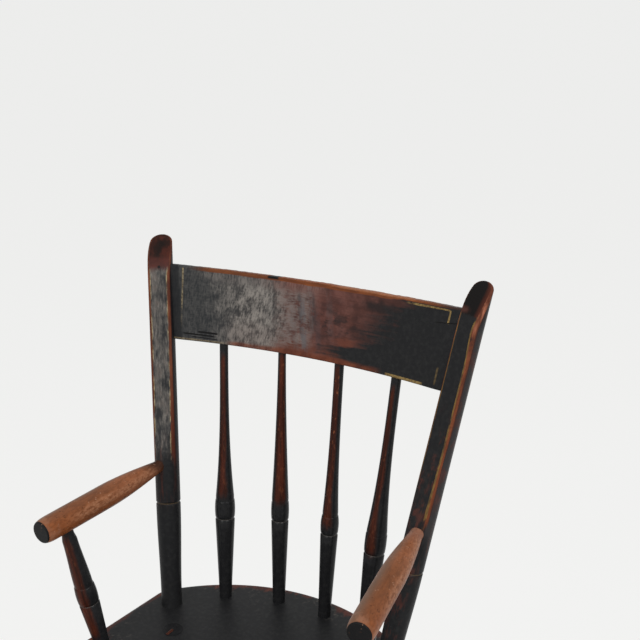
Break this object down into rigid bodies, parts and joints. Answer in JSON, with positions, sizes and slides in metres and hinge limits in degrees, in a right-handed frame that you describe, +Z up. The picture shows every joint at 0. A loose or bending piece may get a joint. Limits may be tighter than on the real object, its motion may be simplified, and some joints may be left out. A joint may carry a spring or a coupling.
{
  "type": "high chair",
  "caption": "Painted thumb-back high chair: bent crest rail, turned spindles, posts and arms, dished plank seat on splayed turned legs with stretchers and a footrest board.",
  "frame": {"origin": "on the floor, at the middle of the four feet", "axes": "+Z up, the chair faces -Y, +X to the right of someone who looks at it from in front"},
  "size_m": [0.4128, 0.4189, 0.8974],
  "materials": {
    "black_paint": "old black paint with gold lines, satin, worn to red-brown at the edges",
    "worn_paint": "black paint rubbed through to a red-brown undercoat, satin",
    "bare_wood": "hand-worn bare wood with an old polish",
    "old_iron": "dark rusted iron"
  },
  "bodies": {
    "root": {"seat": "black_paint", "front_left_leg": "black_paint", "front_right_leg": "black_paint", "rear_left_leg": "black_paint", "rear_right_leg": "black_paint", "left_side_stretcher": "black_paint", "right_side_stretcher": "black_paint", "front_stretcher": "black_paint", "rear_stretcher": "black_paint", "footrest_rung": "black_paint", "footrest": "black_paint", "left_back_post": "black_paint", "right_back_post": "black_paint", "crest_rail": "black_paint", "spindle_1": "worn_paint", "spindle_2": "worn_paint", "spindle_3": "worn_paint", "spindle_4": "worn_paint", "left_arm_support": "worn_paint", "right_arm_support": "worn_paint", "left_crest_pin": "worn_paint", "right_crest_pin": "worn_paint", "front_left_leg_wedge": "worn_paint", "front_right_leg_wedge": "worn_paint", "rear_left_leg_wedge": "worn_paint", "rear_right_leg_wedge": "worn_paint", "left_arm": "bare_wood", "right_arm": "bare_wood", "left_footrest_nail": "old_iron", "right_footrest_nail": "old_iron"}
  },
  "joints": []
}
